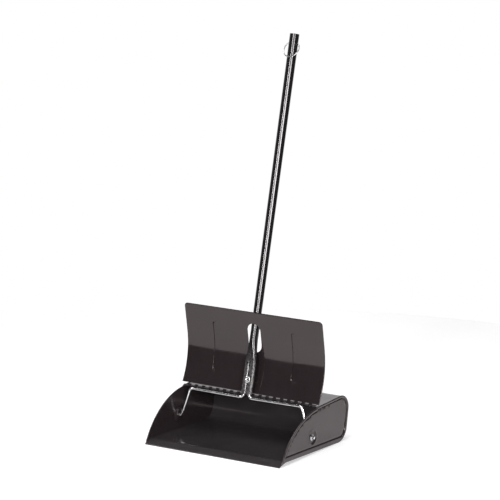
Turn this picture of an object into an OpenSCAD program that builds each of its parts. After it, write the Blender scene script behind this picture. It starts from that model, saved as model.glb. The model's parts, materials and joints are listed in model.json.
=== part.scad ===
// Upright lobby dustpan with a self-closing hinged lid.
// The pan, the lid and the handle are separate bodies. The lid swings on a rod at its lower
// edge, and the handle swings on two wire ends in the end panels, through a slot in the lid.
// Frame: X is the width, -Y is the open mouth, +Z is up. The origin is on the floor, at mid
// width, straight below the lid's hinge rod. Everything is drawn as it stands at rest, open.

/* [Pan] */
// Overall width across the end panels
pan_w = 305; // [260:1:340]
// How far the lip reaches ahead of the hinge rod
lip_reach = 130; // [126:1:134]
// Height of the hinge rod above the floor
hinge_z = 87; // [86:0.5:88]
// Height of the rear top corner above the floor
rear_h = 89.1; // [88:0.1:90]
// Radius of the rear top corner
top_corner_r = 27; // [22:1:30]
// Radius of the rear bottom corner
low_corner_r = 30; // [24:1:34]
// Slope of the pan's floor in degrees
floor_tilt = 1.92; // [1:0.01:2.5]
// Sheet thickness of the pan and the lid
sheet_t = 0.8; // [0.6:0.1:1]

/* [End panels] */
// Height of the rolled rim on the curved edges
rim_w = 5; // [3:0.5:7]
// Height of the rolled rim along the bottom
rim_low_w = 9.5; // [7:0.5:12]
// How far the rim stands outside the panel's face
rim_out = 1.5; // [0.5:0.1:2]
// Diameter of the pressed dimple round each pivot
dimple_d = 27; // [22:1:32]
// Depth of the dimple
dimple_deep = 2; // [1:0.1:2.5]

/* [Lid] */
// Length of the lid's sheet from hinge rod to free edge
lid_len = 162; // [158:0.5:163]
// How much of that length is curved, the rest being flat
lid_round = 106; // [100:1:116]
// How far the lid reaches past the end panels on each side
lid_side = 1.8; // [0:0.1:2]
// Swing of the lid from open to closed in degrees
lid_swing = 125; // [122:0.5:126]
// Width of the folded hem
hem_w = 6; // [4:0.5:9]
// Distance of each stiffening bead from the middle
bead_x = 88; // [70:1:110]
// Width of a stiffening bead
bead_w = 12; // [8:1:16]
// Width of the handle slot
slot_w = 29; // [27:1:32]
// Distance along the lid from the rod to the slot's lower end
slot_near = 82; // [76:1:88]
// Distance along the lid from the rod to the slot's upper end
slot_far = 139; // [138.5:0.5:142]

/* [Hinge] */
// Diameter of the hinge rod
rod_d = 3; // [2.5:0.1:3.5]
// Distance from one pan knuckle to the next
knuckle_pitch = 16; // [14:1:20]
// Length of a pan knuckle
knuckle_w = 8; // [6:0.5:9]
// Running clearance between the rod and a knuckle
rod_fit = 0.05; // [0.02:0.01:0.1]

/* [Handle] */
// Outside diameter of the handle tube above its flattened end
tube_d = 16; // [15:0.1:16]
// Outside diameter of the handle tube at its top
tube_top_d = 18; // [16:0.1:19]
// Wall thickness of the handle tube
tube_wall = 1.2; // [0.8:0.1:1.6]
// Backward lean of the handle in degrees
handle_lean = 14.7; // [14.4:0.1:15]
// Length of the handle tube
tube_len = 682; // [500:1:720]
// Width of the tube's flattened lower end
flat_w = 23; // [22:0.5:24]
// Length of the flattened lower end
flat_len = 54; // [50:1:58]
// Length over which the tube turns from flat to round
blend_len = 50; // [44:1:56]

/* [Yoke and ring] */
// Wire diameter of the yoke
wire_d = 5.6; // [5:0.1:6]
// Half the width of the yoke's cross bar
bar_half = 125.5; // [118:0.5:130]
// Height of the cross bar above the floor
bar_z = 84.5; // [83:0.5:85]
// Height of the yoke's pivots above the floor
pivot_z = 31.5; // [30:0.5:34]
// Distance of the pivots ahead of the hinge rod
pivot_ahead = 18; // [17:0.5:20]
// Mean diameter of the hanging ring
ring_d = 32; // [30:1:34]
// Wire diameter of the hanging ring
ring_wire = 2.2; // [1.8:0.1:2.6]

/* [Hidden] */
$fn = 96;

// End panels, from the outside in
rim_x = pan_w / 2;                 // outer face of the rim
face_x = rim_x - rim_out;          // outer face of the panel
inner_x = face_x - sheet_t;        // inner face of the panel
bead_out = 1;                      // rim stands this far outside the wrapped sheet
panel_drop = 0.6;                  // end panels stop this far below the rod's middle

// The closed lid's curve and the end panels' front edges share one centre
knuckle_r = rod_d / 2 + rod_fit;                 // bore of a knuckle
knuckle_mid = knuckle_r + sheet_t / 2;           // middle of the curled sheet
knuckle_out = knuckle_r + sheet_t;               // outside of a knuckle
mouth_c = [8, -65.4];                            // centre of the mouth's arc
hinge_p = [0, hinge_z];                          // the rod, in Y and Z
lid_r = norm(hinge_p - mouth_c) - knuckle_mid;   // middle of the lid's sheet
mouth_r = lid_r - sheet_t / 2 - 0.5;             // edge of the end panels, under the lid
hinge_a = atan2(hinge_z - mouth_c[1], -mouth_c[0]); // the rod's direction from the centre
knuckle_gap = 0.35;                              // clearance round a knuckle
window_r = 4;                                    // sheet starts this far from the rod
knuckle_n = floor((pan_w / 2 - 6) / knuckle_pitch);

// Rear corners of the pan
rear_low_y = 102;                  // furthest back of the bottom corner
rear_top_y = 108;                  // furthest back of the top corner
rear_low = [rear_low_y - low_corner_r, low_corner_r];
rear_top = [rear_top_y - top_corner_r, rear_h - top_corner_r];
top_a = 91.6;                      // the rear top corner ends in this direction
rear_step = rear_top - rear_low;
rear_a = -(90 - atan2(rear_step[1], rear_step[0])
         + asin((top_corner_r - low_corner_r) / norm(rear_step)));

// Lip
lip_back = 112;                    // top of the ramp, ahead of the rod
lip_rise = 6.2;                    // the ramp's height
lip_hem = 10;                      // depth of the lip's folded hem

// Lid
lid_x = rim_x + lid_side;          // half the lid's width
lid_back = sheet_t / 2;            // back of the lid's sheet, out from its middle
side_hem_from = 12;                // side hems start this far along the lid from the rod
bead_near = 36;                    // ends of the stiffening beads, along the lid from the rod
bead_far = 130;
bead_high = 1.2;
slot_long = slot_far - slot_near;

// Handle
pivot_p = [-pivot_ahead, pivot_z];
bar_p = [-12, bar_z];                            // cross bar, in Y and Z
lean_u = [sin(handle_lean), cos(handle_lean)];   // along the handle, in Y and Z
stub_x = 6.2;                                    // wire ends inside the flattened tube
stub_len = 46;
leg_x = 139;                                     // foot of a leg, before it turns outward
leg_foot = 6;                                    // the foot steps out this far
pivot_out = 3;                                   // wire ends stand this far outside the rim
bend_lap = 0.3;                                  // straight wire reaches this far into a bend
bend_swell = 0.06;                               // bends are this much thicker
tube_start = 7;                                  // lower end of the tube above the bar
flat_wall = 0.9;                                 // the wall is drawn thinner where it is flattened
flat_t = wire_d + 0.2 + 2 * flat_wall;           // thickness of the flattened end
round_from = flat_len + blend_len;               // the tube is round above this
tuck = 0.03;                                     // the blend lies this far inside the flat end
rivet_at = 35;                                   // rivet above the bar
rivet_d = 6.4;
rivet_head_d = 12;
rivet_head_t = 1;
rivet_bore = 3.4;
nut_d = 12;                                      // push nuts on the wire's ends
nut_t = 0.8;
nut_lift = 0.4;                                  // clear of the dimple
ring_hole_at = 17;                               // ring holes below the tube's top
ring_hole_d = 5;
ring_drop = ring_d / 2 * cos(asin(tube_top_d / ring_d));
ring_swing = asin((tube_top_d / 2 + ring_wire / 2 + 0.4) / (ring_d / 2 + ring_drop));

function arc(c, r, a0, a1, n = 24) =
    [for (i = [0:n]) c + r * [cos(a0 + (a1 - a0) * i / n), sin(a0 + (a1 - a0) * i / n)]];

function backwards(p) = [for (i = [len(p) - 1:-1:0]) p[i]];

// Direction of the point where a circle meets the line that lies `up` above the pan's bottom
function floor_cut(c, r, up, side) =
    let (n = [sin(floor_tilt), cos(floor_tilt)],
         k = rear_low[0] * sin(floor_tilt) + up * cos(floor_tilt))
    90 - floor_tilt + side * acos((k - n * c) / r);

// Side view of an end panel, drawn in by `d`, and by `low` along the bottom
function panel_outline(d, low) = concat(
    arc(mouth_c, mouth_r - d, hinge_a + 1.2, floor_cut(mouth_c, mouth_r - d, low, 1), 48),
    arc(rear_low, low_corner_r - d, floor_cut(rear_low, low_corner_r - d, low, -1), rear_a),
    arc(rear_top, top_corner_r - d, rear_a, top_a),
    [[0, hinge_z - panel_drop - d]]);

// One side of the wrapped sheet, `d` inside the end panels' outline
function sheet_line(d) = concat(
    [[-lip_reach, d - bead_out], [-lip_back, lip_rise + d]],
    arc(rear_low, low_corner_r - d, -90 - floor_tilt, rear_a),
    arc(rear_top, top_corner_r - d, rear_a, top_a),
    [[0, hinge_z - knuckle_mid + sheet_t / 2 + bead_out - d]]);

// Lays a side view, drawn in Y and Z, across the width from x0 to x1
module across(x0, x1)
    translate([x0, 0, 0]) rotate([90, 0, 90]) linear_extrude(x1 - x0) children();

module rod_between(a, b, d) {
    v = b - a;
    translate(a) rotate([0, acos(v[2] / norm(v)), atan2(v[1], v[0])])
        cylinder(d = d, h = norm(v));
}

function unit(v) = v / norm(v);
function turn(a, b, c) = acos(unit(b - a) * unit(c - b));
function cut_back(a, b, c, r) = r * tan(turn(a, b, c) / 2);

// Round bend of radius r that replaces the corner b of the line a, b, c
module elbow(a, b, c, r, d) {
    u = unit(b - a);
    t = turn(a, b, c);
    n = (unit(c - b) - u * cos(t)) / sin(t);
    z = cross(-n, u);
    m = b - u * cut_back(a, b, c, r) + n * r;
    multmatrix([[-n[0], u[0], z[0], m[0]], [-n[1], u[1], z[1], m[1]], [-n[2], u[2], z[2], m[2]]])
        rotate_extrude(angle = t) translate([r, 0]) circle(d = d);
}

// Wire along points p, with a round bend of radius r[i] at each inner point. The straights
// reach a little way into the bends, which are a hair thicker, so that they join as one wire
module bent_wire(p, r, d) {
    last = len(p) - 1;
    for (i = [0:last - 1]) {
        s = i == 0 ? 0 : cut_back(p[i - 1], p[i], p[i + 1], r[i]) - bend_lap;
        e = i == last - 1 ? 0 : cut_back(p[i], p[i + 1], p[i + 2], r[i + 1]) - bend_lap;
        u = unit(p[i + 1] - p[i]);
        rod_between(p[i] + u * s, p[i + 1] - u * e, d);
    }
    for (i = [1:last - 1]) elbow(p[i - 1], p[i], p[i + 1], r[i], d + bend_swell);
}

// Cylinder round the hinge line, `w` long and centred on x
module on_hinge(x, w, r)
    translate([x - w / 2, 0, hinge_z]) rotate([0, 90, 0]) cylinder(r = r, h = w);

// Pan knuckles and the windows between them sit on one even pitch
module each_pan_knuckle() for (i = [-knuckle_n:knuckle_n]) translate([i * knuckle_pitch, 0, 0]) children();
module each_lid_knuckle()
    for (i = [-knuckle_n:knuckle_n - 1]) translate([(i + 0.5) * knuckle_pitch, 0, 0]) children();

module pan_wrapper() color([0.10, 0.09, 0.09]) difference() {
    union() {
        across(-inner_x, inner_x)
            polygon(concat(sheet_line(bead_out), backwards(sheet_line(bead_out + sheet_t))));
        lip_fold();
        each_pan_knuckle() on_hinge(0, knuckle_w, knuckle_out);
    }
    each_lid_knuckle() on_hinge(0, knuckle_pitch - knuckle_w, knuckle_out + knuckle_gap);
    for (s = [-1, 1])
        on_hinge(s * inner_x, 2 * (inner_x - knuckle_n * knuckle_pitch) - knuckle_w,
                 knuckle_out + knuckle_gap);
    on_hinge(0, pan_w, knuckle_r);
}

// Lip's front edge, folded back over itself
module lip_fold() {
    slope = (lip_rise + bead_out) / (lip_reach - lip_back);
    across(-inner_x, inner_x) polygon([
        [-lip_reach, 0], [-lip_reach, 2 * sheet_t],
        [-lip_reach + lip_hem, 2 * sheet_t + lip_hem * slope], [-lip_reach + lip_hem, lip_hem * slope]]);
}

module end_panel(side) color([0.12, 0.11, 0.11]) {
    flat_d = dimple_d - 4 * dimple_deep;
    mirror([side < 0 ? 1 : 0, 0, 0]) difference() {
        union() {
            across(inner_x, rim_x) difference() {
                polygon(panel_outline(0, 0));
                polygon(panel_outline(rim_w, rim_low_w));
            }
            across(inner_x, face_x) polygon(panel_outline(rim_w - 1, rim_low_w - 1));
            at_pivot(face_x - dimple_deep - sheet_t)
                cylinder(d1 = flat_d + 2 * sheet_t, d2 = dimple_d + 1, h = dimple_deep + sheet_t - 0.1);
        }
        at_pivot(face_x - dimple_deep) cylinder(d1 = flat_d, d2 = dimple_d + 0.01, h = dimple_deep + 0.01);
        at_pivot(inner_x - 10) cylinder(d = wire_d + 2 * rod_fit, h = 20);
    }
}

// Places something on the yoke's pivot line, drawn along +X from x
module at_pivot(x) translate([x, pivot_p[0], pivot_p[1]]) rotate([0, 90, 0]) children();

module end_panel_left() end_panel(-1);
module end_panel_right() end_panel(1);

module hinge_rod() color([0.75, 0.75, 0.77]) on_hinge(0, 2 * inner_x, rod_d / 2);

// Part of a ring in side view, between two directions from its centre
module arc_band(r0, r1, a0, a1) intersection() {
    difference() {
        circle(r = r1);
        circle(r = r0);
    }
    polygon([[0, 0], 2 * r1 * [cos(a0), sin(a0)], 2 * r1 * [cos((a0 + a1) / 2), sin((a0 + a1) / 2)],
             2 * r1 * [cos(a1), sin(a1)]]);
}

// Angle of a distance along the lid's curve
function lid_a(s) = hinge_a + s / lid_r * 180 / PI;

// Puts something at distance s along the closed lid, with X out of it and Y on along it
module at_lid(s) translate(mouth_c) rotate(lid_a(s)) translate([lid_r, 0]) children();

// Piece of the closed lid between two widths and two distances along it from the rod, and
// between two depths out from its middle. It is curved first and flat after that
module lid_patch(x0, x1, from, to, deep, out) across(x0, x1) {
    translate(mouth_c) arc_band(lid_r + deep, lid_r + out, lid_a(from), lid_a(min(to, lid_round)));
    if (to > lid_round) at_lid(lid_round) translate([deep, 0]) square([out - deep, to - lid_round]);
}

// Hem folded back along the free edge and both sides, with its mitred corners left square
module lid_hems() {
    lid_band(-lid_x, lid_x);
    for (s = [-1, 1])
        lid_patch(s < 0 ? -lid_x : lid_x - hem_w, s < 0 ? hem_w - lid_x : lid_x,
                  side_hem_from, lid_len, 0, lid_back + sheet_t);
}

// Hem along the free edge, which lies wholly in the flat part
module lid_band(x0, x1) across(x0, x1) at_lid(lid_round)
    translate([0, lid_len - lid_round - hem_w]) square([lid_back + sheet_t, hem_w]);

// Slot for the handle, cut through the lid's flat and curved parts alike
module handle_slot() translate([0, mouth_c[0], mouth_c[1]])
    rotate([lid_a(slot_near + slot_long / 2) - 90, 0, 0]) translate([0, 0, lid_r])
        linear_extrude(24, center = true) {
            square([slot_w, slot_long - slot_w], center = true);
            for (s = [-1, 1]) translate([0, s * (slot_long - slot_w) / 2]) circle(d = slot_w);
        }

module closed_lid() difference() {
    union() {
        lid_patch(-lid_x, lid_x, 0, lid_len, -lid_back, lid_back);
        lid_hems();
        for (s = [-1, 1])
            lid_patch(s * bead_x - bead_w / 2, s * bead_x + bead_w / 2, bead_near, bead_far,
                      0, lid_back + bead_high);
        each_lid_knuckle() on_hinge(0, knuckle_pitch - knuckle_w - 2 * knuckle_gap, knuckle_out);
    }
    each_pan_knuckle() on_hinge(0, knuckle_w + 2 * knuckle_gap, window_r);
    for (s = [-1, 1]) on_hinge(s * lid_x, 2 * (lid_x - knuckle_n * knuckle_pitch), window_r);
    on_hinge(0, pan_w + 10, knuckle_r);
    handle_slot();
}

module lid() color([0.13, 0.12, 0.12])
    translate([0, 0, hinge_z]) rotate([-lid_swing, 0, 0]) translate([0, 0, -hinge_z]) closed_lid();

// Point on the handle's line, `up` along it from the cross bar, at width x
function on_handle(x, up) = [x, bar_p[0] + up * lean_u[0], bar_p[1] + up * lean_u[1]];

// One wire: a hairpin inside the handle, the cross bar, two legs, and a pivot at each end
module yoke_wire() color([0.80, 0.80, 0.82]) {
    half = [on_handle(stub_x, tube_start + stub_len), on_handle(stub_x, 0),
            [bar_half, bar_p[0] - 1, bar_p[1] + 1], [leg_x, pivot_p[0] + 1, pivot_p[1] + 12],
            [leg_x + leg_foot, pivot_p[0], pivot_p[1]], [rim_x + pivot_out, pivot_p[0], pivot_p[1]]];
    bends = [stub_x - 0.2, 8, 9, 9, 4, 0];
    other = [for (p = backwards(half)) [-p[0], p[1], p[2]]];
    bent_wire(concat(other, half), concat(backwards(bends), bends), wire_d);
}

// Stands something on the handle's line, `up` along it from the cross bar
module along_handle(up) translate(on_handle(0, up)) rotate([-handle_lean, 0, 0]) children();

module flat_section(w, t) {
    square([w - t, t], center = true);
    for (s = [-1, 1]) translate([s * (w - t) / 2, 0]) circle(d = t, $fn = 32);
}

// Flattened end and the blend above it, drawn upward from z and on past the blend by `over`
module end_shape(w, t, d, z, over) {
    translate([0, 0, z]) linear_extrude(flat_len - z) flat_section(w, t);
    hull() {
        translate([0, 0, flat_len - 1]) linear_extrude(1) flat_section(w - 2 * tuck, t - 2 * tuck);
        translate([0, 0, round_from - 1]) cylinder(d = d, h = 1 + over, $fn = 32);
    }
}

// The handle's tube is one pressing, drawn as two solids that meet where it becomes round
module handle_end() color([0.07, 0.07, 0.07]) along_handle(tube_start) difference() {
    end_shape(flat_w, flat_t, tube_d, 0, 0);
    end_shape(flat_w - 2 * flat_wall, flat_t - 2 * flat_wall, tube_d - 2 * tube_wall, -1, 1);
    translate([0, 0, rivet_at - tube_start]) rotate([90, 0, 0])
        cylinder(d = rivet_d, h = 40, center = true);
}

// Slightly flared round length, open at the top, with a hole through it for the ring
module handle_tube() color([0.07, 0.07, 0.07]) along_handle(tube_start) difference() {
    translate([0, 0, round_from]) cylinder(d1 = tube_d, d2 = tube_top_d, h = tube_len - round_from);
    translate([0, 0, round_from - 1])
        cylinder(d1 = tube_d - 2 * tube_wall, d2 = tube_top_d - 2 * tube_wall,
                 h = tube_len - round_from + 2);
    translate([0, 0, tube_len - ring_hole_at]) rotate([0, 90, 0])
        cylinder(d = ring_hole_d, h = 40, center = true);
}

module yoke_rivet() color([0.85, 0.85, 0.87]) along_handle(rivet_at) rotate([90, 0, 0]) difference() {
    union() {
        cylinder(d = rivet_d, h = flat_t + rivet_head_t, center = true);
        for (s = [-1, 1]) translate([0, 0, s * (flat_t + rivet_head_t) / 2])
            cylinder(d = rivet_head_d, h = rivet_head_t, center = true);
    }
    cylinder(d = rivet_bore, h = 40, center = true);
}

module push_nut(side) color([0.70, 0.70, 0.72]) mirror([side < 0 ? 1 : 0, 0, 0])
    at_pivot(face_x - dimple_deep + nut_lift) difference() {
        union() {
            cylinder(d = nut_d, h = nut_t);
            cylinder(d1 = nut_d - 2, d2 = nut_d - 4.5, h = 2.5 * nut_t);
        }
        translate([0, 0, -1]) cylinder(d = wire_d, h = 5);
    }

module push_nut_left() push_nut(-1);
module push_nut_right() push_nut(1);

module hang_ring() color([0.80, 0.80, 0.82])
    along_handle(tube_start + tube_len - ring_hole_at) rotate([-ring_swing, 0, 0])
        translate([0, 0, -ring_drop]) rotate([90, 0, 0])
            rotate_extrude() translate([ring_d / 2, 0]) circle(d = ring_wire, $fn = 32);

pan_wrapper();
end_panel_left();
end_panel_right();
hinge_rod();
lid();
yoke_wire();
handle_end();
handle_tube();
yoke_rivet();
push_nut_left();
push_nut_right();
hang_ring();
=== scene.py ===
"""Looks for the upright lobby dustpan: black enamelled sheet steel with bright wire fittings.

Shapes are worked out in millimetres in the row frame and turned into metres when a mesh is made.
"""
import json
import math

import bmesh
import bpy
import numpy as np
from mathutils import Matrix, Vector
from mathutils.geometry import delaunay_2d_cdt


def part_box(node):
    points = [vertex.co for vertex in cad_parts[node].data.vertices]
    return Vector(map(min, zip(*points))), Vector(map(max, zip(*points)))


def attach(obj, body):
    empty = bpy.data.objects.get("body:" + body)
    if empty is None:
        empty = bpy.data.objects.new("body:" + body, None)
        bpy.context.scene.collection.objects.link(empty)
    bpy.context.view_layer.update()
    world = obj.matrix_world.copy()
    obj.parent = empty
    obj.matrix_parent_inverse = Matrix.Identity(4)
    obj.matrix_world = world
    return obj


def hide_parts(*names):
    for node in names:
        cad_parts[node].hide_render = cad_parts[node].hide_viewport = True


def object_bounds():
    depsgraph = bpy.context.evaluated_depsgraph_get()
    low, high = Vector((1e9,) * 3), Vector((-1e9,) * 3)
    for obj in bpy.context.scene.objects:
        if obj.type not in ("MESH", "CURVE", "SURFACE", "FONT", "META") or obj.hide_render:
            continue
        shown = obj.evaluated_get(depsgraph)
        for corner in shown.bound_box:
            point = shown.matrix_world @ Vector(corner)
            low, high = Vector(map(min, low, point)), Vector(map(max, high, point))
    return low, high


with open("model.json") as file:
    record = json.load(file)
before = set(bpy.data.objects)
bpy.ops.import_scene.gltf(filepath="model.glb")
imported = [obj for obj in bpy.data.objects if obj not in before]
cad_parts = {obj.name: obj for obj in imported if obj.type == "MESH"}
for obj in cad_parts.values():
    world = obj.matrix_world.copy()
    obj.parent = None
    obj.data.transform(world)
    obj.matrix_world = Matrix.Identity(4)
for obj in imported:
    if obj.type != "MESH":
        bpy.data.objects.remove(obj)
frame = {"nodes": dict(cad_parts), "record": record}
CAD_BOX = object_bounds()
MM = 0.001

# ---------------------------------------------------------------- places taken from the frame

JOINTS = {j["name"]: j for j in frame["record"]["behaviour"]["joints"]}


def joint_place(name):
    """Y and Z of a joint's axis, in mm."""
    return np.array(JOINTS[name]["pos_m"][1:]) / MM


def box_mm(node):
    """Lowest and highest corner of a CAD node, in mm."""
    low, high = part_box(node)
    return np.array(low) / MM, np.array(high) / MM


HINGE = joint_place("lid_hinge")
PIVOT = joint_place("handle_tilt")
RING_HOLE = joint_place("ring_swing")
PANEL_HIGH = box_mm("end_panel_right")[1]
RIM_X = PANEL_HIGH[0]
WIRE_X = box_mm("yoke_wire")[1][0]

# ---------------------------------------------------------------- driving dimensions, mm

SHEET = 0.8
# How far the rolled rim stands out beyond the panel's face, and BEAD_OUT beyond the wrapped sheet.
RIM_OUT = 1.5
FACE_X = RIM_X - RIM_OUT
INNER_X = FACE_X - SHEET
BEAD_OUT = 1.0
RIM_W, RIM_LOW_W = 5.0, 9.5
DIMPLE_R, DIMPLE_DEEP = 13.5, 2.0
# The pan's floor rises by TILT from the rear to the mouth. TOP_END_A ends the rear's top bend.
TILT = math.radians(1.92)
TOP_END_A = math.radians(91.6)
TOP_R, LOW_R = 27.0, 30.0
ROD_R = 1.5
KNUCKLE_R = ROD_R + 0.05
KNUCKLE_MID = KNUCKLE_R + SHEET / 2
PITCH, KNUCKLE_W, GAP = 16.0, 8.0, 0.35
CURL = math.radians(318)
KNUCKLES = int((RIM_X - 6) // PITCH)
MOUTH = HINGE + np.array([8.0, -152.4])
LID_R = float(np.linalg.norm(HINGE - MOUTH)) - KNUCKLE_MID
MOUTH_R = LID_R - SHEET / 2 - 0.5
HINGE_A = math.atan2(HINGE[1] - MOUTH[1], HINGE[0] - MOUTH[0])
LID_LEN, LID_ROUND = 162.0, 106.0
LID_X = RIM_X + 1.8
LID_OPEN = math.radians(125.0)
SLOT_W, SLOT_NEAR, SLOT_FAR = 29.0, 82.0, 139.0
LIP_BACK, LIP_RISE, LIP_NOSE = 112.0, 6.2, 0.25
# Middle, half length and depth of two shallow dents in the lip.
LIP_DENTS = [(-55.0, 20.0, 0.8), (112.0, 16.0, 0.7)]
TOE_A = math.radians(1.55)
# Stiffening beads on the lid: middle in X, half width, both ends along the lid, depth.
BEAD_X, BEAD_HALF, BEAD_NEAR, BEAD_FAR, BEAD_DEEP = 88.0, 5.4, 35.0, 131.0, 2.0
HEM_W, SHEET_START = 6.0, 2.9
WIRE_D, TUBE_D, TUBE_WALL = 5.6, 16.0, 1.2
LEAN = math.radians(14.7)
HANDLE_U = np.array([math.sin(LEAN), math.cos(LEAN)])
RING_HOLE_UP, TUBE_START, TUBE_LEN = 672.0, 7.0, 682.0
TUBE_TOP_D = 18.0
BAR = RING_HOLE - RING_HOLE_UP * HANDLE_U
RING_D, RING_WIRE, RING_HOLE_R = 32.0, 2.2, 2.5
RING_START, RING_TURN = math.radians(52), math.radians(376)
FLAT_W, FLAT_WALL, FLAT_LEN, BLEND_LEN = 23.0, 0.9, 54.0, 50.0
FLAT_T = WIRE_D + 0.2 + 2 * FLAT_WALL
ROUND_FROM = FLAT_LEN + BLEND_LEN
# Depth of the valley between the wires, as a share of the tube's half thickness, and the
# length over which it fades out above their ends.
LOBES, LOBE_FADE = 0.42, 42.0
# The hairpin's two wires in the tube: half their spacing and their length above the tube's end.
STUB_X, STUB_LEN = 6.2, 46.0
LEG_X, BAR_HALF = 139.0, 125.5
RIVET_UP = 35.0

REAR_LOW = np.array([PANEL_HIGH[1] - 6.0 - LOW_R, LOW_R])
REAR_TOP = np.array([PANEL_HIGH[1] - TOP_R, PANEL_HIGH[2] - TOP_R])
REAR_STEP = REAR_TOP - REAR_LOW
REAR_A = -(math.pi / 2 - math.atan2(REAR_STEP[1], REAR_STEP[0])
           + math.asin((TOP_R - LOW_R) / float(np.linalg.norm(REAR_STEP))))

# ---------------------------------------------------------------- camera

# Degrees, from the right of the open mouth.
AZIMUTH, ELEVATION, ROLL = 33.55, 12.42, -0.45
# Metres from the object's middle, and the aim beside and above that middle.
CAMERA_REACH = 5.628
AIM_SIDE, AIM_UP = -0.0085, -0.0137
LENS_MM = 217.4

# ---------------------------------------------------------------- outlines in Y and Z


def polar(angle):
    """Unit vector in Y and Z at an angle from +Y."""
    return np.array([math.cos(angle), math.sin(angle)])


def arc(centre, radius, start, end, n):
    return [centre + radius * polar(start + (end - start) * i / n) for i in range(n + 1)]


def line(a, b, n):
    """Points after a, up to and with b."""
    a, b = np.array(a, float), np.array(b, float)
    return [a + (b - a) * (i + 1) / n for i in range(n)]


def floor_cut(centre, radius, up, side):
    """Direction from a circle's centre to where it meets the line `up` above the pan's bottom."""
    normal = np.array([math.sin(TILT), math.cos(TILT)])
    height = REAR_LOW[0] * math.sin(TILT) + up * math.cos(TILT)
    return math.pi / 2 - TILT + side * math.acos((height - normal @ centre) / radius)


def panel_outline(d, low):
    """Side view of an end panel, drawn in by d, and by low along the bottom. The outermost
    lines run down into a toe that closes the corner over the lip's ramp."""
    toe = max(0.0, 1 - low / 2.5)
    points = arc(MOUTH, MOUTH_R - d, HINGE_A + math.radians(1.2),
                 floor_cut(MOUTH, MOUTH_R - d, low, 1) + toe * TOE_A, 90)
    corner = arc(REAR_LOW, LOW_R - d, floor_cut(REAR_LOW, LOW_R - d, low, -1), REAR_A, 30)
    share = (LIP_BACK + points[-1][0]) / (LIP_BACK + corner[0][0])
    crease_z = points[-1][1] + (corner[0] - points[-1])[1] * share + toe * 3.3
    crease = np.array([-LIP_BACK + 1.0, crease_z])
    points += line(points[-1], crease, 6) + line(crease, corner[0], 24) + corner[1:]
    points += arc(REAR_TOP, TOP_R - d, REAR_A, TOP_END_A, 30)
    points += line(points[-1], [HINGE[0], HINGE[1] - 0.6 - d], 16)
    return points + line(points[-1], points[0], 2)[:-1]


# ---------------------------------------------------------------- mesh helpers


def make_piece(name, points, faces, body, material, nodes=(), sharp=32):
    """Makes a mesh object from points in mm that rides on a body."""
    mesh = bpy.data.meshes.new(name)
    mesh.from_pydata([tuple(float(c) * MM for c in p) for p in points], [], faces)
    solid = bmesh.new()
    solid.from_mesh(mesh)
    bmesh.ops.remove_doubles(solid, verts=solid.verts, dist=1e-7)
    bmesh.ops.recalc_face_normals(solid, faces=solid.faces)
    solid.to_mesh(mesh)
    solid.free()
    mesh.polygons.foreach_set("use_smooth", [True] * len(mesh.polygons))
    mesh.set_sharp_from_angle(angle=math.radians(sharp))
    mesh.materials.append(material)
    piece = bpy.data.objects.new(name, mesh)
    bpy.context.scene.collection.objects.link(piece)
    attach(piece, body)
    if nodes:
        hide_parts(*nodes)
    return piece


def grid_faces(rows, cols, first=0, wrap=False):
    """Quads between rows of points; wrap joins the last column to the first."""
    faces = []
    for r in range(rows - 1):
        for c in range(cols if wrap else cols - 1):
            a, b = first + r * cols + c, first + r * cols + (c + 1) % cols
            faces.append((a, b, b + cols, a + cols))
    return faces


def loft(rings, closed=False, caps=True):
    """Points and quads through rings of equal length; caps close the two ends."""
    cols = len(rings[0])
    points = [p for ring in rings for p in ring]
    faces = grid_faces(len(rings), cols, wrap=True)
    if closed:
        last = (len(rings) - 1) * cols
        faces += [(last + c, last + (c + 1) % cols, (c + 1) % cols, c) for c in range(cols)]
    elif caps:
        faces.append(tuple(range(cols))[::-1])
        faces.append(tuple((len(rings) - 1) * cols + c for c in range(cols)))
    return points, faces


def strip_ends(faces, half, last):
    """Closes both ends of a lofted strip whose outline runs out and back over `half` points
    each way. last is the number of the last ring's first point."""
    for end, flip in ((0, False), (last, True)):
        for i in range(half - 1):
            quad = (end + i, end + i + 1, end + 2 * half - 2 - i, end + 2 * half - 1 - i)
            faces.append(quad if flip else quad[::-1])


def mirrored(points):
    return [p * np.array([-1, 1, 1]) for p in points]


def merge(*parts):
    """Joins several (points, faces) into one."""
    points, faces = [], []
    for p, f in parts:
        faces += [tuple(i + len(points) for i in face) for face in f]
        points += list(p)
    return points, faces


def unit(v):
    return v / np.linalg.norm(v)


def rounded_path(corners, radii, step=math.radians(6)):
    """Straight line through corners with each inner corner rounded."""
    corners = [np.array(c, float) for c in corners]
    path = [corners[0]]
    for a, b, c, radius in zip(corners, corners[1:], corners[2:], radii[1:]):
        u, w = unit(b - a), unit(c - b)
        turn = math.acos(max(-1.0, min(1.0, float(u @ w))))
        inward = unit(w - u * math.cos(turn))
        start = b - u * radius * math.tan(turn / 2)
        centre = start + inward * radius
        count = max(3, round(turn / step))
        for i in range(count + 1):
            t = turn * i / count
            path.append(centre - inward * radius * math.cos(t) + u * radius * math.sin(t))
    return path + [corners[-1]]


def fill_steps(path, longest):
    """Adds points so that no step along the path is longer than `longest`."""
    out = [path[0]]
    for a, b in zip(path, path[1:]):
        out += line(a, b, max(1, math.ceil(float(np.linalg.norm(b - a)) / longest)))
    return out


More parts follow.
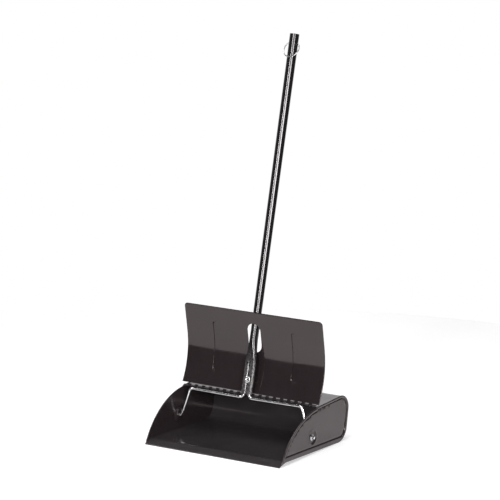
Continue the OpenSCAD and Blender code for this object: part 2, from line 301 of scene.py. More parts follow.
def round_wire(path, radius, sides=24, closed=False):
    """Round wire along a path, with softly domed ends unless it is closed."""
    path = [np.array(p, float) for p in path]
    n = len(path)
    tangents = []
    for i in range(n):
        a = path[(i - 1) % n] if closed or i else path[0]
        b = path[(i + 1) % n] if closed or i < n - 1 else path[-1]
        tangents.append(unit(b - a))
    normal = unit(np.cross(tangents[0], [0.31, 0.52, 0.79]))
    rings = []
    for p, t in zip(path, tangents):
        normal = unit(normal - t * float(normal @ t))
        other = np.cross(t, normal)
        rings.append([p + radius * (math.cos(a) * normal + math.sin(a) * other)
                      for a in np.linspace(0, 2 * math.pi, sides, endpoint=False)])
    if not closed:
        for end, sign in ((0, -1.0), (-1, 1.0)):
            ring, p, t = rings[end], path[end], tangents[end] * sign
            dome = [[p + (q - p) * k + t * radius * h for q in ring]
                    for k, h in ((0.9, 0.08), (0.62, 0.16), (0.25, 0.19))]
            rings = dome[::-1] + rings if end == 0 else rings + dome
    return loft(rings, closed=closed)


def lathe(profile, place, sides=64):
    """Turns (radius, height) points round an axis; place maps (x, y, height) to the row frame."""
    rings = [[place(r * math.cos(a), r * math.sin(a), h)
              for a in np.linspace(0, 2 * math.pi, sides, endpoint=False)] for r, h in profile]
    return loft(rings, closed=True)


def smooth_step(x):
    x = min(1.0, max(0.0, x))
    return x * x * (3 - 2 * x)


def flat_region(loops, extra):
    """Triangulates the inside of the first loop less the others, with extra points inside."""
    points, edges = [], []
    for loop in loops:
        first = len(points)
        points += [Vector(p) for p in loop]
        edges += [(first + i, first + (i + 1) % len(loop)) for i in range(len(loop))]
    points += [Vector(p) for p in extra]
    flat, _, faces, source, _, _ = delaunay_2d_cdt(points, edges, [], 0, 1e-5)
    kept = []
    for face in faces:
        centre = sum((flat[i] for i in face), Vector((0.0, 0.0))) / len(face)
        if inside(centre, loops[0]) and not any(inside(centre, hole) for hole in loops[1:]):
            kept.append(tuple(face))
    return flat, kept, {given: i for i, ids in enumerate(source) for given in ids}


def inside(p, loop):
    hit = False
    for (x0, y0), (x1, y1) in zip(loop, loop[1:] + loop[:1]):
        if (y0 > p[1]) != (y1 > p[1]) and p[0] < (x1 - x0) * (p[1] - y0) / (y1 - y0) + x0:
            hit = not hit
    return hit


def two_sided(flat, faces, index, loops, place, skip=()):
    """A sheet from a flat region: place(u, v, side) gives each face's points, and every loop
    that isn't skipped gets a wall between the two sides."""
    n = len(flat)
    points = [place(p[0], p[1], 0) for p in flat] + [place(p[0], p[1], 1) for p in flat]
    out = [tuple(f) for f in faces] + [tuple(i + n for i in reversed(f)) for f in faces]
    start = 0
    for k, loop in enumerate(loops):
        ids = [index[start + i] for i in range(len(loop))]
        start += len(loop)
        if k not in skip:
            out += [(b, a, a + n, b + n) for a, b in zip(ids, ids[1:] + ids[:1]) if a != b]
    return points, out


def ring_points(centre, radius, n):
    return [tuple(centre + radius * polar(2 * math.pi * i / n)) for i in range(n)]


# ---------------------------------------------------------------- materials


def node(tree, kind, **values):
    made = tree.nodes.new(kind)
    for key, value in values.items():
        if hasattr(made, key):
            setattr(made, key, value)
        else:
            made.inputs[key.replace("_", " ")].default_value = value
    return made


def noise(tree, where, scale, detail=3.0, stretch=None):
    """Noise over the object's own coordinates, drawn out along an axis if stretch says so."""
    if stretch:
        moved = node(tree, "ShaderNodeMapping", Scale=stretch)
        tree.links.new(where, moved.inputs["Vector"])
        where = moved.outputs["Vector"]
    made = node(tree, "ShaderNodeTexNoise", Scale=scale, Detail=detail)
    tree.links.new(where, made.inputs["Vector"])
    return made.outputs["Fac"]


def mapped(tree, value, low, high, from_low=0.3, from_high=0.7):
    made = node(tree, "ShaderNodeMapRange")
    made.inputs["From Min"].default_value = from_low
    made.inputs["From Max"].default_value = from_high
    made.inputs["To Min"].default_value = low
    made.inputs["To Max"].default_value = high
    tree.links.new(value, made.inputs["Value"])
    return made.outputs["Result"]


def two_tone(tree, value, first, second):
    """Goes from the first colour to the second; each is a colour or a socket that gives one."""
    made = node(tree, "ShaderNodeMix", data_type="RGBA")
    colours = [s for s in made.inputs if s.type == "RGBA"]
    for socket, given in zip(colours, (first, second)):
        if isinstance(given, tuple):
            socket.default_value = (*given, 1)
        else:
            tree.links.new(given, socket)
    tree.links.new(value, made.inputs["Factor"])
    return next(s for s in made.outputs if s.type == "RGBA")


def product(tree, first, second):
    made = node(tree, "ShaderNodeMath", operation="MULTIPLY")
    tree.links.new(first, made.inputs[0])
    tree.links.new(second, made.inputs[1])
    return made.outputs[0]


def split_xyz(tree, where):
    made = node(tree, "ShaderNodeSeparateXYZ")
    tree.links.new(where, made.inputs["Vector"])
    return made.outputs


def bump(tree, height, strength, distance, before=None):
    made = node(tree, "ShaderNodeBump", Strength=strength, Distance=distance)
    tree.links.new(height, made.inputs["Height"])
    if before is not None:
        tree.links.new(before, made.inputs["Normal"])
    return made.outputs["Normal"]


def start_material(name):
    material = bpy.data.materials.new(name)
    material.use_nodes = True
    tree = material.node_tree
    shader = tree.nodes["Principled BSDF"]
    where = tree.nodes.new("ShaderNodeTexCoord").outputs["Object"]
    return material, tree, shader, where


def enamel_parts(name, dark, light, rough, ior, wave, tint=(1.0, 0.89, 0.895), uneven=0.4):
    """Stove enamel on sheet steel: cloudy black, fine rubbed patches and, where wave isn't 0,
    orange peel over a slow wave in the sheet."""
    material, tree, shader, where = start_material(name)
    cloud = mapped(tree, noise(tree, where, 14, 4), 0, 1)
    tree.links.new(two_tone(tree, cloud, dark, light), shader.inputs["Base Color"])
    smoothest, roughest = rough * (1 - 0.6 * uneven), rough * (1 + 1.2 * uneven)
    rubbed = mapped(tree, noise(tree, where, 42, 6), smoothest, roughest)
    tree.links.new(rubbed, shader.inputs["Roughness"])
    if wave:
        slow = bump(tree, noise(tree, where, 11, 1), wave, 0.0012)
        fine = bump(tree, noise(tree, where, 900, 2), 0.05, 0.0003, slow)
        tree.links.new(fine, shader.inputs["Normal"])
    shader.inputs["IOR"].default_value = ior
    shader.inputs["Specular Tint"].default_value = (*tint, 1)
    return material, tree, shader, where


def enamel(*values):
    return enamel_parts(*values)[0]


# Painted reflection: colour lightens the enamel below a height, standing in for the pale floor seen in
# it.
def paint_low_reflection(base, top, fade, colour=(0.085, 0.080, 0.081), dulling=0.22):
    """Makes an enamel duller and mottled below the height top, in metres, and lighter there: the lighter
    colour is a painted reflection of the pale floor.
    """
    material, tree, shader, where = base
    below = mapped(tree, split_xyz(tree, where)["Z"], 1, 0, top - fade, top)
    # Mottled mask for the painted reflection's lighter colour; it also dulls the enamel.
    reflection_and_dull_mask = product(tree, below, mapped(tree, noise(tree, where, 420, 5), 0, 1, 0.38, 0.62))
    plain = shader.inputs["Base Color"].links[0].from_socket
    tree.links.new(two_tone(tree, reflection_and_dull_mask, plain, colour), shader.inputs["Base Color"])
    dull = node(tree, "ShaderNodeMath", operation="MULTIPLY_ADD")
    tree.links.new(reflection_and_dull_mask, dull.inputs[0])
    dull.inputs[1].default_value = dulling
    tree.links.new(shader.inputs["Roughness"].links[0].from_socket, dull.inputs[2])
    tree.links.new(dull.outputs[0], shader.inputs["Roughness"])
    return material


def bright_metal(name, dark, light, rough, grain=(1, 1, 1)):
    """Plated steel: drawn lines, cloudy plating and small dull spots."""
    material, tree, shader, where = start_material(name)
    cloud = mapped(tree, noise(tree, where, 60, 5), 0, 1)
    tree.links.new(two_tone(tree, cloud, dark, light), shader.inputs["Base Color"])
    spots = noise(tree, where, 260, 4, grain)
    tree.links.new(mapped(tree, spots, rough * 0.85, rough * 1.25), shader.inputs["Roughness"])
    lines = bump(tree, noise(tree, where, 700, 2, grain), 0.03, 0.0004)
    tree.links.new(lines, shader.inputs["Normal"])
    shader.inputs["Metallic"].default_value = 1.0
    return material


PAN_BLACK = enamel("pan_black_enamel", (0.026, 0.0232, 0.0240), (0.031, 0.0278, 0.0286), 0.16, 1.6, 0.35)
LID_BLACK = enamel("lid_black_enamel", (0.014, 0.0104, 0.0112), (0.018, 0.0136, 0.0146), 0.08, 1.53, 0.3)
PANEL_BLACK = enamel("panel_black_enamel", (0.021, 0.0155, 0.0166), (0.027, 0.0205, 0.0218),
                     0.16, 1.55, 0.4)
RING_METAL = bright_metal("ring_wire", (0.36, 0.36, 0.37), (0.55, 0.55, 0.56), 0.25)
TUBE_ENAMEL = enamel_parts("handle_black_enamel", (0.006, 0.0055, 0.0056), (0.010, 0.009, 0.009),
                           0.12, 1.7, 0.0, (1.0, 0.97, 0.975), 0.03)
# Painted reflection of the pale floor: lighter and mottled on the flattened end below 0.185 m, and
# duller there.
HANDLE_BLACK = paint_low_reflection(TUBE_ENAMEL, 0.185, 0.05)
BRIGHT_WIRE = bright_metal("bright_zinc_wire", (0.66, 0.66, 0.67), (0.88, 0.88, 0.90), 0.16, (1, 8, 8))
BRIGHT_RIVET = bright_metal("bright_rivet", (0.74, 0.74, 0.75), (0.92, 0.92, 0.93), 0.2)
ZINC = bright_metal("dull_zinc", (0.42, 0.42, 0.44), (0.62, 0.62, 0.64), 0.28)

# ---------------------------------------------------------------- pan


def sheet_path(d):
    """Side view of the wrapped sheet, d inside the end panels' outline, from lip to hinge."""
    nose = np.array([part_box("pan_wrapper")[0][1] / MM + LIP_NOSE, d - BEAD_OUT])
    crease = np.array([-LIP_BACK, LIP_RISE + d])
    corner = arc(REAR_LOW, LOW_R - d, -math.pi / 2 - TILT, REAR_A, 30)
    start = [nose] + line(nose, crease + unit(nose - crease) * 3, 8)
    after = crease + unit(corner[0] - crease) * 3
    bend = [(1 - t) ** 2 * start[-1] + 2 * t * (1 - t) * crease + t * t * after
            for t in (0.25, 0.5, 0.75, 1.0)]
    path = start + bend + line(after, corner[0], 30) + corner[1:]
    path += arc(REAR_TOP, TOP_R - d, REAR_A, TOP_END_A, 24)
    end = np.array([HINGE[0], HINGE[1] - KNUCKLE_MID + SHEET / 2 + BEAD_OUT - d])
    return path + line(path[-1], end + unit(path[-1] - end) * 2.3, 16)


def lip_wave(x, y):
    """Height of the pressed lip's unevenness, in mm: slow waves that fade out towards the
    floor sheet, less the dents."""
    near = smooth_step((-LIP_BACK + 8 - y) / 10)
    waves = 0.22 * math.sin(x / 31 + 0.9) + 0.12 * math.sin(x / 13.0 + 2.1)
    band = math.exp(-((y + LIP_BACK + 8) / 5) ** 2)
    dents = sum(deep * math.exp(-((x - middle) / half) ** 2) * band
                for middle, half, deep in LIP_DENTS)
    return near * waves - dents


def pan_section(x, outline):
    """An outline in Y and Z, placed at x with the lip's unevenness and kept off the floor."""
    return [np.array([x, p[0], max(0.0, p[1] + lip_wave(x, p[0]))]) for p in outline]


def knuckle(x0, x1, centre, lead, turn, reach):
    """One curled tab: a lead-in from `reach` away, then round the rod. lead is the unit vector
    from the tangent point along the sheet, turn is +1 or -1."""
    side = np.array([-lead[1], lead[0]]) * turn
    rows = []
    for radius in (KNUCKLE_R, KNUCKLE_R + SHEET):
        row = [centre + side * radius + lead * reach]
        row += [centre + radius * (side * math.cos(a) - lead * math.sin(a))
                for a in np.linspace(0, CURL, 30)]
        rows.append(row)
    outline = rows[0] + rows[1][::-1]
    rings = [[np.array([x, *p]) for p in outline] for x in (x0, x0 + 0.15, x1 - 0.15, x1)]
    points, faces = loft(rings, caps=False)
    strip_ends(faces, len(rows[0]), 3 * len(outline))
    return points, faces


def make_pan():
    xs = np.linspace(-INNER_X, INNER_X, 151)
    outer, inner = sheet_path(BEAD_OUT), sheet_path(BEAD_OUT + SHEET)
    nose = [outer[0] + (inner[0] - outer[0]) * 0.5 + np.array([-LIP_NOSE, 0.0])]
    loop = outer + inner[::-1] + nose
    points, faces = loft([pan_section(x, loop) for x in xs], caps=False)
    strip_ends(faces, len(outer), (len(xs) - 1) * len(loop))
    parts = [(points, faces), lip_fold(xs)]
    lead = unit(outer[-1] - np.array([HINGE[0], HINGE[1] - KNUCKLE_MID + SHEET / 2]))
    for i in range(-KNUCKLES, KNUCKLES + 1):
        x = i * PITCH
        parts.append(knuckle(x - KNUCKLE_W / 2, x + KNUCKLE_W / 2, HINGE, lead, -1, 3.2))
    points, faces = merge(*parts)
    make_piece("pan_sheet", points, faces, "pan", PAN_BLACK, ["pan_wrapper"])


def lip_fold(xs):
    """The lip's front edge, folded back over itself."""
    outer, inner = sheet_path(BEAD_OUT), sheet_path(BEAD_OUT + SHEET)
    up = unit(np.array([-(inner[1] - inner[0])[1], (inner[1] - inner[0])[0]]))
    along = unit(inner[1] - inner[0])
    depth = 10.0
    section = [inner[0] + along * 0.4 + up * 0.02, outer[0] + np.array([0.1, 0.45])]
    section += [inner[0] + along * 0.1 + up * 0.42, inner[0] + along * 0.7 + up * 0.74]
    section += [inner[0] + along * t + up * 0.78 for t in (2, 4, 6, 8, depth - 0.4)]
    section += [inner[0] + along * depth + up * 0.5, inner[0] + along * depth + up * 0.02]
    return loft([pan_section(x, section) for x in xs])


# ---------------------------------------------------------------- end panels


def rim_sections():
    """(x inside the rim's face, inset, inset along the bottom) across the rolled rim."""
    deep = RIM_LOW_W - RIM_W
    out = RIM_X - INNER_X
    shape = [(out, 0.9, 0), (out, 0.35, 0), (out - 0.35, 0.08, 0), (out - 0.9, 0.0, 0), (0.75, 0.1, 0),
             (0.35, 0.35, 0), (0.1, 0.8, 0), (0.0, 1.4, 0), (0.0, 2.2, 0.5), (0.02, RIM_W - 1.5, 1),
             (0.15, RIM_W - 0.95, 1), (0.45, RIM_W - 0.5, 1), (0.95, RIM_W - 0.2, 1),
             (RIM_OUT + 0.5, RIM_W + 0.05, 1), (RIM_OUT + 0.72, RIM_W + 0.4, 1),
             (RIM_OUT + 0.45, RIM_W + 0.85, 1), (RIM_OUT, RIM_W + 1.4, 1)]
    return [(x, d, d + deep * f) for x, d, f in shape]


def dimple(y, z):
    """Depth of the pressed dimple at a place on the panel."""
    r = math.hypot(y - PIVOT[0], z - PIVOT[1])
    raised_edge = 0.35 * math.exp(-((r - 14.6) / 1.1) ** 2)
    return DIMPLE_DEEP * smooth_step((DIMPLE_R + 0.3 - r) / 4.4) - raised_edge


def make_end_panel(side, name, cad_node):
    sections = rim_sections()
    rings = [[np.array([RIM_X - x, *p]) for p in panel_outline(d, low)] for x, d, low in sections]
    rim_points, rim_faces = loft(rings, caps=False)
    border = [tuple(p) for p in panel_outline(*sections[-1][1:])]
    hole = ring_points(PIVOT, WIRE_D / 2 + 0.05, 32)
    extra = []
    for r in (3.6, 5, 6.5, 8, 8.9, 9.5, 10.1, 10.7, 11.3, 11.9, 12.5, 13.1, 13.7, 14.3, 14.9,
              15.6, 16.6, 18.5):
        extra += ring_points(PIVOT, r, 56)
    for y in np.arange(-125, 112, 7.0):
        for z in np.arange(3, 90, 7.0):
            if math.hypot(y - PIVOT[0], z - PIVOT[1]) > 21:
                extra.append((y, z))
    flat, faces, index = flat_region([border, hole], extra)

    def place(y, z, back):
        return np.array([FACE_X - SHEET * back - dimple(y, z), y, z])

    face_points, face_faces = two_sided(flat, faces, index, [border, hole], place, skip=(0,))
    points, faces = merge((rim_points, rim_faces), (face_points, face_faces))
    inner_border = [np.array([INNER_X, *p]) for p in border]
    first = len(points)
    points += [np.array([INNER_X, *p]) for p in panel_outline(*sections[0][1:])] + inner_border
    faces += [tuple(reversed(f)) for f in grid_faces(2, len(border), first, wrap=True)]
    if side < 0:
        points = mirrored(points)
        faces = [tuple(reversed(f)) for f in faces]
    make_piece(name, points, faces, "pan", PANEL_BLACK, [cad_node], sharp=50)


# ---------------------------------------------------------------- lid


def on_lid(x, s, out):
    """Place on the open lid: x across, s along it from the rod, out from its middle. It is
    curved up to LID_ROUND and flat after that."""
    bent = min(s, LID_ROUND)
    radial = polar(HINGE_A + bent / LID_R)
    p = MOUTH + (LID_R + out) * radial + (s - bent) * np.array([-radial[1], radial[0]]) - HINGE
    c, n = math.cos(-LID_OPEN), math.sin(-LID_OPEN)
    return np.array([x, HINGE[0] + p[0] * c - p[1] * n, HINGE[1] + p[0] * n + p[1] * c])


def bead(x, s):
    """How far a stiffening bead is pressed out at a place on the lid."""
    across = abs(abs(x) - BEAD_X)
    along = max(0.0, BEAD_NEAR + BEAD_HALF - s, s - BEAD_FAR + BEAD_HALF)
    r = math.hypot(across, along)
    return BEAD_DEEP * smooth_step((BEAD_HALF + 0.3 - r) / 1.4)


def lid_wave(x, s):
    """Slow unevenness of the lid's sheet, in mm."""
    return 0.16 * math.sin(x / 41 + 0.4) * math.sin(s / 37 + 1.1) + 0.10 * math.sin(x / 23 - s / 29)


def slot_loop():
    r = SLOT_W / 2
    near, far = (0.0, SLOT_NEAR + r), (0.0, SLOT_FAR - r)
    loop = arc(np.array(near), r, math.pi, 2 * math.pi, 28) + line((r, near[1]), (r, far[1]), 10)[:-1]
    loop += arc(np.array(far), r, 0, math.pi, 28) + line((-r, far[1]), (-r, near[1]), 10)[:-1]
    return [tuple(p) for p in loop]


def hem_path(inset):
    """Left side, top and right side of the lid in x and s, with rounded corners."""
    w, top, r = LID_X - inset, LID_LEN - inset, max(0.5, 7.0 - inset)
    path = line((-w, SHEET_START - 1), (-w, top - r), 40)
    path += arc(np.array([-w + r, top - r]), r, math.pi, math.pi / 2, 10)
    path += line((-w + r, top), (w - r, top), 90)
    path += arc(np.array([w - r, top - r]), r, math.pi / 2, 0, 10)[1:]
    return path + line((w, top - r), (w, SHEET_START), 40)


def make_lid():
    front, back = -SHEET / 2, SHEET / 2
    rows = [(HEM_W, front), (4.4, front), (3.2, front), (2.7, front + 0.16), (2.2, front + 0.1),
            (1.7, front - 0.12), (1.1, front - 0.1)]
    rows += [(0.8 - 0.8 * math.sin(a), back - 0.8 * math.cos(a))
             for a in np.radians([20, 45, 70, 90, 120, 150])]
    rows += [(1.2, back + SHEET), (4.0, back + SHEET), (HEM_W - 0.3, back + SHEET),
             (HEM_W, back + SHEET - 0.3), (HEM_W, back)]
    strips = []
    for inset, out in rows:
        strips.append([on_lid(p[0], p[1], out + lid_wave(*p)) for p in hem_path(inset)])
    count = len(strips[0])
    hem = ([p for row in strips for p in row],
           [tuple(reversed(f)) for f in grid_faces(len(strips), count)])
    edge = [tuple(p) for p in hem_path(HEM_W)]
    low = line(edge[-1], edge[0], 110)[:-1]
    border = edge + [tuple(p) for p in low]
    hole = slot_loop()
    extra = []
    for x in np.arange(-144, 145, 3.0):
        for s in np.arange(7, LID_LEN - 8, 3.0):
            near_bead = bead(x, s) > 0 or abs(abs(x) - BEAD_X) < 10
            if not near_bead and not inside((x, s), hole):
                extra.append((x, s))
    for side in (-1, 1):
        for x in np.arange(-8.1, 8.2, 0.45):
            for s in np.arange(29, 137, 1.5):
                extra.append((side * BEAD_X + x, s))
    flat, faces, index = flat_region([border, hole], extra)

    def place(x, s, side):
        return on_lid(x, s, (back if side else front) + lid_wave(x, s) + bead(x, s))

    main = two_sided(flat, faces, index, [border, hole], place, skip=(0,))
    parts = [hem, main]
    lead = unit((on_lid(0, 0.5, 0) - on_lid(0, 0, 0))[1:])
    width = PITCH - KNUCKLE_W - 2 * GAP
    for i in range(-KNUCKLES, KNUCKLES):
        x = (i + 0.5) * PITCH
        parts.append(knuckle(x - width / 2, x + width / 2, HINGE, lead, 1, SHEET_START + 0.6))
    points, faces = merge(*parts)
    make_piece("lid_sheet", points, faces, "lid", LID_BLACK, ["lid"], sharp=40)


# ---------------------------------------------------------------- handle and yoke


def on_handle(x, up, out=0.0):
    """Place on the handle: x across, up along it from the cross bar, out towards the mouth."""
    p = BAR + up * HANDLE_U + out * np.array([-HANDLE_U[1], HANDLE_U[0]])
    return np.array([x, *p])


def make_yoke():
    half = [on_handle(STUB_X, TUBE_START + STUB_LEN), on_handle(STUB_X, 0),
            [BAR_HALF, BAR[0] - 1, BAR[1] + 1], [LEG_X, PIVOT[0] + 1, PIVOT[1] + 12],
            [LEG_X + 6, *PIVOT], [WIRE_X - 0.6, *PIVOT]]
    bends = [STUB_X - 0.2, 8, 9, 9, 4, 0]
    other = [np.array([-p[0], p[1], p[2]]) for p in half[::-1]]
    path = fill_steps(rounded_path(other + half, bends[::-1] + bends), 6)
    points, faces = round_wire(path, WIRE_D / 2, 28)
    make_piece("yoke", points, faces, "handle", BRIGHT_WIRE, ["yoke_wire"])


def section(width, thick, lobes, count=96):
    """Outline of a tube that is pressed flat, with lobes standing up over the wires inside."""
    points = []
    power = 2 + 1.6 * (width - thick) / width
    for i in range(count):
        a = 2 * math.pi * (i + 0.5) / count
        c, n = math.cos(a), math.sin(a)
        x = width / 2 * math.copysign(abs(c) ** (2 / power), c)
        t = thick / 2 * math.copysign(abs(n) ** (2 / power), n)
        valley = math.exp(-(x / 2.6) ** 2) + 0.45 * smooth_step((abs(x) - 8.3) / 2.5)
        points.append((x, t * (1 - lobes * valley)))
    return points


def tube_rings(width, thick, round_d, ups, shrink, lobes):
    """Outlines up the tube: pressed flat at the bottom, then round and slightly flared."""
    rings = []
    for up in ups:
        k = smooth_step((up - FLAT_LEN) / BLEND_LEN)
        flare = (TUBE_TOP_D - TUBE_D) * max(0.0, (up - ROUND_FROM) / (TUBE_LEN - ROUND_FROM))
        w = width + (round_d - width) * k + flare
        t = thick + (round_d - thick) * k + flare
        fade = 1 - smooth_step((up - STUB_LEN) / LOBE_FADE)
        rings.append([on_handle(x, TUBE_START + up, out)
                      for x, out in section(w - shrink, t - shrink, lobes * fade)])
    return rings


def make_handle():
    ups = list(np.arange(0.35, FLAT_LEN, 2.0)) + list(np.arange(FLAT_LEN, ROUND_FROM, 2.0))
    ups += list(np.arange(ROUND_FROM, TUBE_LEN - 34, 12.0))
    ups += list(np.arange(TUBE_LEN - 34, TUBE_LEN - 1, 1.0)) + [TUBE_LEN - 0.4]
    outer = tube_rings(FLAT_W, FLAT_T, TUBE_D, ups, 0.0, LOBES)
    low_edge = tube_rings(FLAT_W, FLAT_T, TUBE_D, [0.0], 0.6, LOBES)
    top_edge = tube_rings(FLAT_W, FLAT_T, TUBE_D, [TUBE_LEN], 0.8, 0.0)
    inner = tube_rings(FLAT_W - 2 * FLAT_WALL, FLAT_T - 2 * FLAT_WALL, TUBE_D - 2 * TUBE_WALL,
                       [0.0] + ups + [TUBE_LEN], 0.0, 0.0)
    points, faces = loft(low_edge + outer + top_edge + inner[::-1], closed=True)
    piece = make_piece("handle_tube_body", points, [tuple(reversed(f)) for f in faces], "handle",
                       HANDLE_BLACK, ["handle_end", "handle_tube"])
    cut_ring_holes(piece)


def cut_ring_holes(piece):
    """Cuts the two holes for the hanging ring and keeps the result as the piece's mesh."""
    hole = cutter(np.array([-20.0, *RING_HOLE]), np.array([20.0, *RING_HOLE]), RING_HOLE_R)
    cut = piece.modifiers.new("ring_holes", "BOOLEAN")
    cut.operation = "DIFFERENCE"
    cut.solver = "EXACT"
    cut.object = hole
    bpy.context.view_layer.update()
    done = bpy.data.meshes.new_from_object(piece.evaluated_get(bpy.context.evaluated_depsgraph_get()))
    piece.modifiers.clear()
    piece.data = done
    bpy.data.objects.remove(hole)


def cutter(a, b, radius):
    """A hidden round bar, used once to cut a hole."""
    points, faces = round_wire([a, b], radius, 40)
    mesh = bpy.data.meshes.new("cutter")
    mesh.from_pydata([tuple(p * MM) for p in points], [], faces)
    made = bpy.data.objects.new("cutter", mesh)
    bpy.context.scene.collection.objects.link(made)
    return made


def make_rivet():
    """Tubular rivet: a rolled flange on each side of the flattened tube."""
    face = FLAT_T / 2
    half = [(1.7, 0.0), (1.7, face - 0.4), (1.9, face + 0.25), (2.5, face + 0.75),
            (3.4, face + 0.97), (4.4, face + 0.98), (5.3, face + 0.8), (5.85, face + 0.45),
            (6.0, face + 0.12), (5.9, face), (3.2, face - 0.02)]
    profile = half + [(r, -h) for r, h in half[::-1] if h > 0]

    def place(x, y, h):
        return on_handle(x, RIVET_UP + y, h)

    points, faces = lathe(profile, place)
    make_piece("rivet", points, faces, "handle", BRIGHT_RIVET, ["yoke_rivet"])


def make_push_nut(side, name, cad_node):
    """Domed retaining nut with six spring teeth that grip the wire."""
    base = FACE_X - DIMPLE_DEEP + 0.4
    profile = [(2.82, 1.9), (3.3, 1.98), (4.1, 1.5), (4.9, 1.0), (5.5, 0.8), (5.95, 0.7), (6.0, 0.35),
               (5.9, 0.0), (4.9, 0.02), (4.0, 0.6), (3.3, 1.4)]

    def place(x, y, h):
        return np.array([base + h, PIVOT[0] + x, PIVOT[1] + y])

    sides = 72
    points, faces = lathe(profile, place, sides)
    slots = {c for k in range(6) for c in (k * 12, k * 12 + 1)}
    inner_rows = {0, 1, len(profile) - 1, len(profile) - 2}
    kept = []
    for f in faces:
        rows, cols = {i // sides for i in f}, {i % sides for i in f}
        if not (rows <= inner_rows | {2, 9} and min(cols) in slots and max(cols) - min(cols) < 3):
            kept.append(f)
    if side < 0:
        points = mirrored(points)
    make_piece(name, points, kept, "handle", ZINC, [cad_node])


def make_ring():
    """Hanging ring: one turn of wire whose ends lie side by side just outside the tube."""
    drop = RING_D / 2 * math.cos(math.asin(TUBE_TOP_D / RING_D))
    hang = math.asin((TUBE_TOP_D / 2 + RING_WIRE / 2 + 0.4) / (RING_D / 2 + drop))
    down = -HANDLE_U
    ahead = np.array([-HANDLE_U[1], HANDLE_U[0]])
    axis = down * math.cos(hang) + ahead * math.sin(hang)
    across = ahead * math.cos(hang) - down * math.sin(hang)
    centre = RING_HOLE + axis * drop
    path = []
    for a in np.linspace(0, RING_TURN, 110):
        near_end = smooth_step((a - RING_TURN + 0.9) / 0.9)
        near_start = smooth_step((0.9 - a) / 0.9)
        side = RING_WIRE / 2 * (near_end - near_start)
        angle = RING_START + a
        p = centre + axis * -(RING_D / 2) * math.cos(angle) + across * side
        path.append(np.array([RING_D / 2 * math.sin(angle), *p]))
    points, faces = round_wire(path, RING_WIRE / 2, 16)
    make_piece("hanging_ring", points, faces, "ring", RING_METAL, ["hang_ring"])


make_pan()
make_end_panel(1, "right_end_panel", "end_panel_right")
make_end_panel(-1, "left_end_panel", "end_panel_left")
make_lid()
make_yoke()
make_handle()
make_rivet()
make_push_nut(1, "right_push_nut", "push_nut_right")
make_push_nut(-1, "left_push_nut", "push_nut_left")
make_ring()
# The rod keeps its CAD mesh, in the nuts' zinc.
rod = frame["nodes"]["hinge_rod"]
rod.data.materials.clear()
rod.data.materials.append(ZINC)

# ---------------------------------------------------------------- stage, light and camera


def make_floor():
    """Plain pale table, round, so that the dark studio in front of it shows in the enamel."""
    sides, reach = 96, 1.05
    points = [(reach * math.cos(2 * math.pi * i / sides), reach * math.sin(2 * math.pi * i / sides), 0)
              for i in range(sides)]
    mesh = bpy.data.meshes.new("floor")
    mesh.from_pydata(points, [], [tuple(range(sides))])
    material, tree, shader, where = start_material("pale_floor")
    shade = mapped(tree, noise(tree, where, 3, 2), 0, 1)
    pale = two_tone(tree, shade, (0.68, 0.68, 0.68), (0.70, 0.70, 0.70))
    tree.links.new(pale, shader.inputs["Base Color"])
    shader.inputs["Roughness"].default_value = 0.7
    shader.inputs["Emission Color"].default_value = (1, 1, 1, 1)
    shader.inputs["Emission Strength"].default_value = 0.45
    mesh.materials.append(material)
    floor = bpy.data.objects.new("floor", mesh)
    bpy.context.scene.collection.objects.link(floor)


def direction(azimuth, elevation):
    """Unit vector from the object out to an azimuth and elevation in degrees."""
    az, el = math.radians(azimuth), math.radians(elevation)
    return Vector((math.sin(az) * math.cos(el), -math.cos(az) * math.cos(el), math.sin(el)))


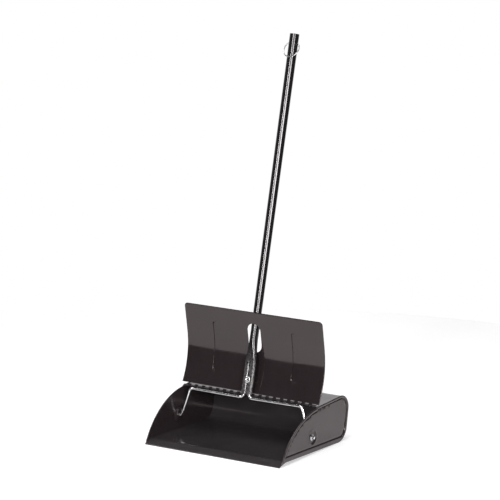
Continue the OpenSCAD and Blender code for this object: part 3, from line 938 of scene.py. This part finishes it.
def add_light(name, azimuth, elevation, distance, width, height, power):
    """A soft box that looks at the object from a direction round it."""
    back = direction(azimuth, elevation)
    data = bpy.data.lights.new(name, "AREA")
    data.shape = "RECTANGLE"
    data.size = width
    data.size_y = height
    data.energy = power
    light = bpy.data.objects.new(name, data)
    bpy.context.scene.collection.objects.link(light)
    light.matrix_world = (Matrix.Translation(back * distance + Vector((0, 0, 0.25)))
                          @ back.to_track_quat("Z", "Y").to_matrix().to_4x4())
    light.visible_camera = False


def make_world():
    """White for the camera; for reflections, white behind the object and dim elsewhere."""
    world = bpy.data.worlds.new("studio")
    bpy.context.scene.world = world
    world.use_nodes = True
    tree = world.node_tree
    shader = tree.nodes["Background"]
    where = tree.nodes.new("ShaderNodeTexCoord").outputs["Generated"]
    az = math.radians(AZIMUTH + 180)
    toward = node(tree, "ShaderNodeVectorMath", operation="DOT_PRODUCT")
    toward.inputs[1].default_value = (math.sin(az), -math.cos(az), 0.12)
    tree.links.new(where, toward.inputs[0])
    low = mapped(tree, split_xyz(tree, where)["Z"], 1, 0, 0.36, 0.50)
    round_back = mapped(tree, toward.outputs["Value"], 0, 1, 0.45, 0.80)
    lobe = product(tree, low, round_back)
    around = two_tone(tree, lobe, (0.058, 0.056, 0.057), (1.1, 1.1, 1.1))
    seen = tree.nodes.new("ShaderNodeLightPath").outputs["Is Camera Ray"]
    tree.links.new(two_tone(tree, seen, around, (1.0, 1.0, 1.0)), shader.inputs["Color"])


def make_camera():
    back = direction(AZIMUTH, ELEVATION)
    side = direction(AZIMUTH + 90, 0)
    up = back.cross(side)
    data = bpy.data.cameras.new("camera")
    data.lens = LENS_MM
    data.sensor_width = 36.0
    data.clip_end = 100.0
    cam = bpy.data.objects.new("camera", data)
    bpy.context.scene.collection.objects.link(cam)
    low, high = CAD_BOX
    aim = (low + high) / 2 + side * AIM_SIDE + up * AIM_UP
    axes = Matrix((side, up, back)).transposed().to_4x4()
    turn = Matrix.Rotation(math.radians(ROLL), 4, back)
    cam.matrix_world = Matrix.Translation(aim + back * CAMERA_REACH) @ turn @ axes
    bpy.context.scene.camera = cam


make_floor()
add_light("handle_strip", 8, 20, 2.6, 0.26, 1.9, 46)
add_light("front_fill", 46, 16, 3.0, 1.2, 0.8, 48)
add_light("top", 20, 84, 2.2, 1.8, 1.4, 30)
add_light("left", -80, 38, 2.6, 1.2, 1.0, 24)
make_world()
make_camera()
bpy.context.scene.view_settings.view_transform = "Standard"
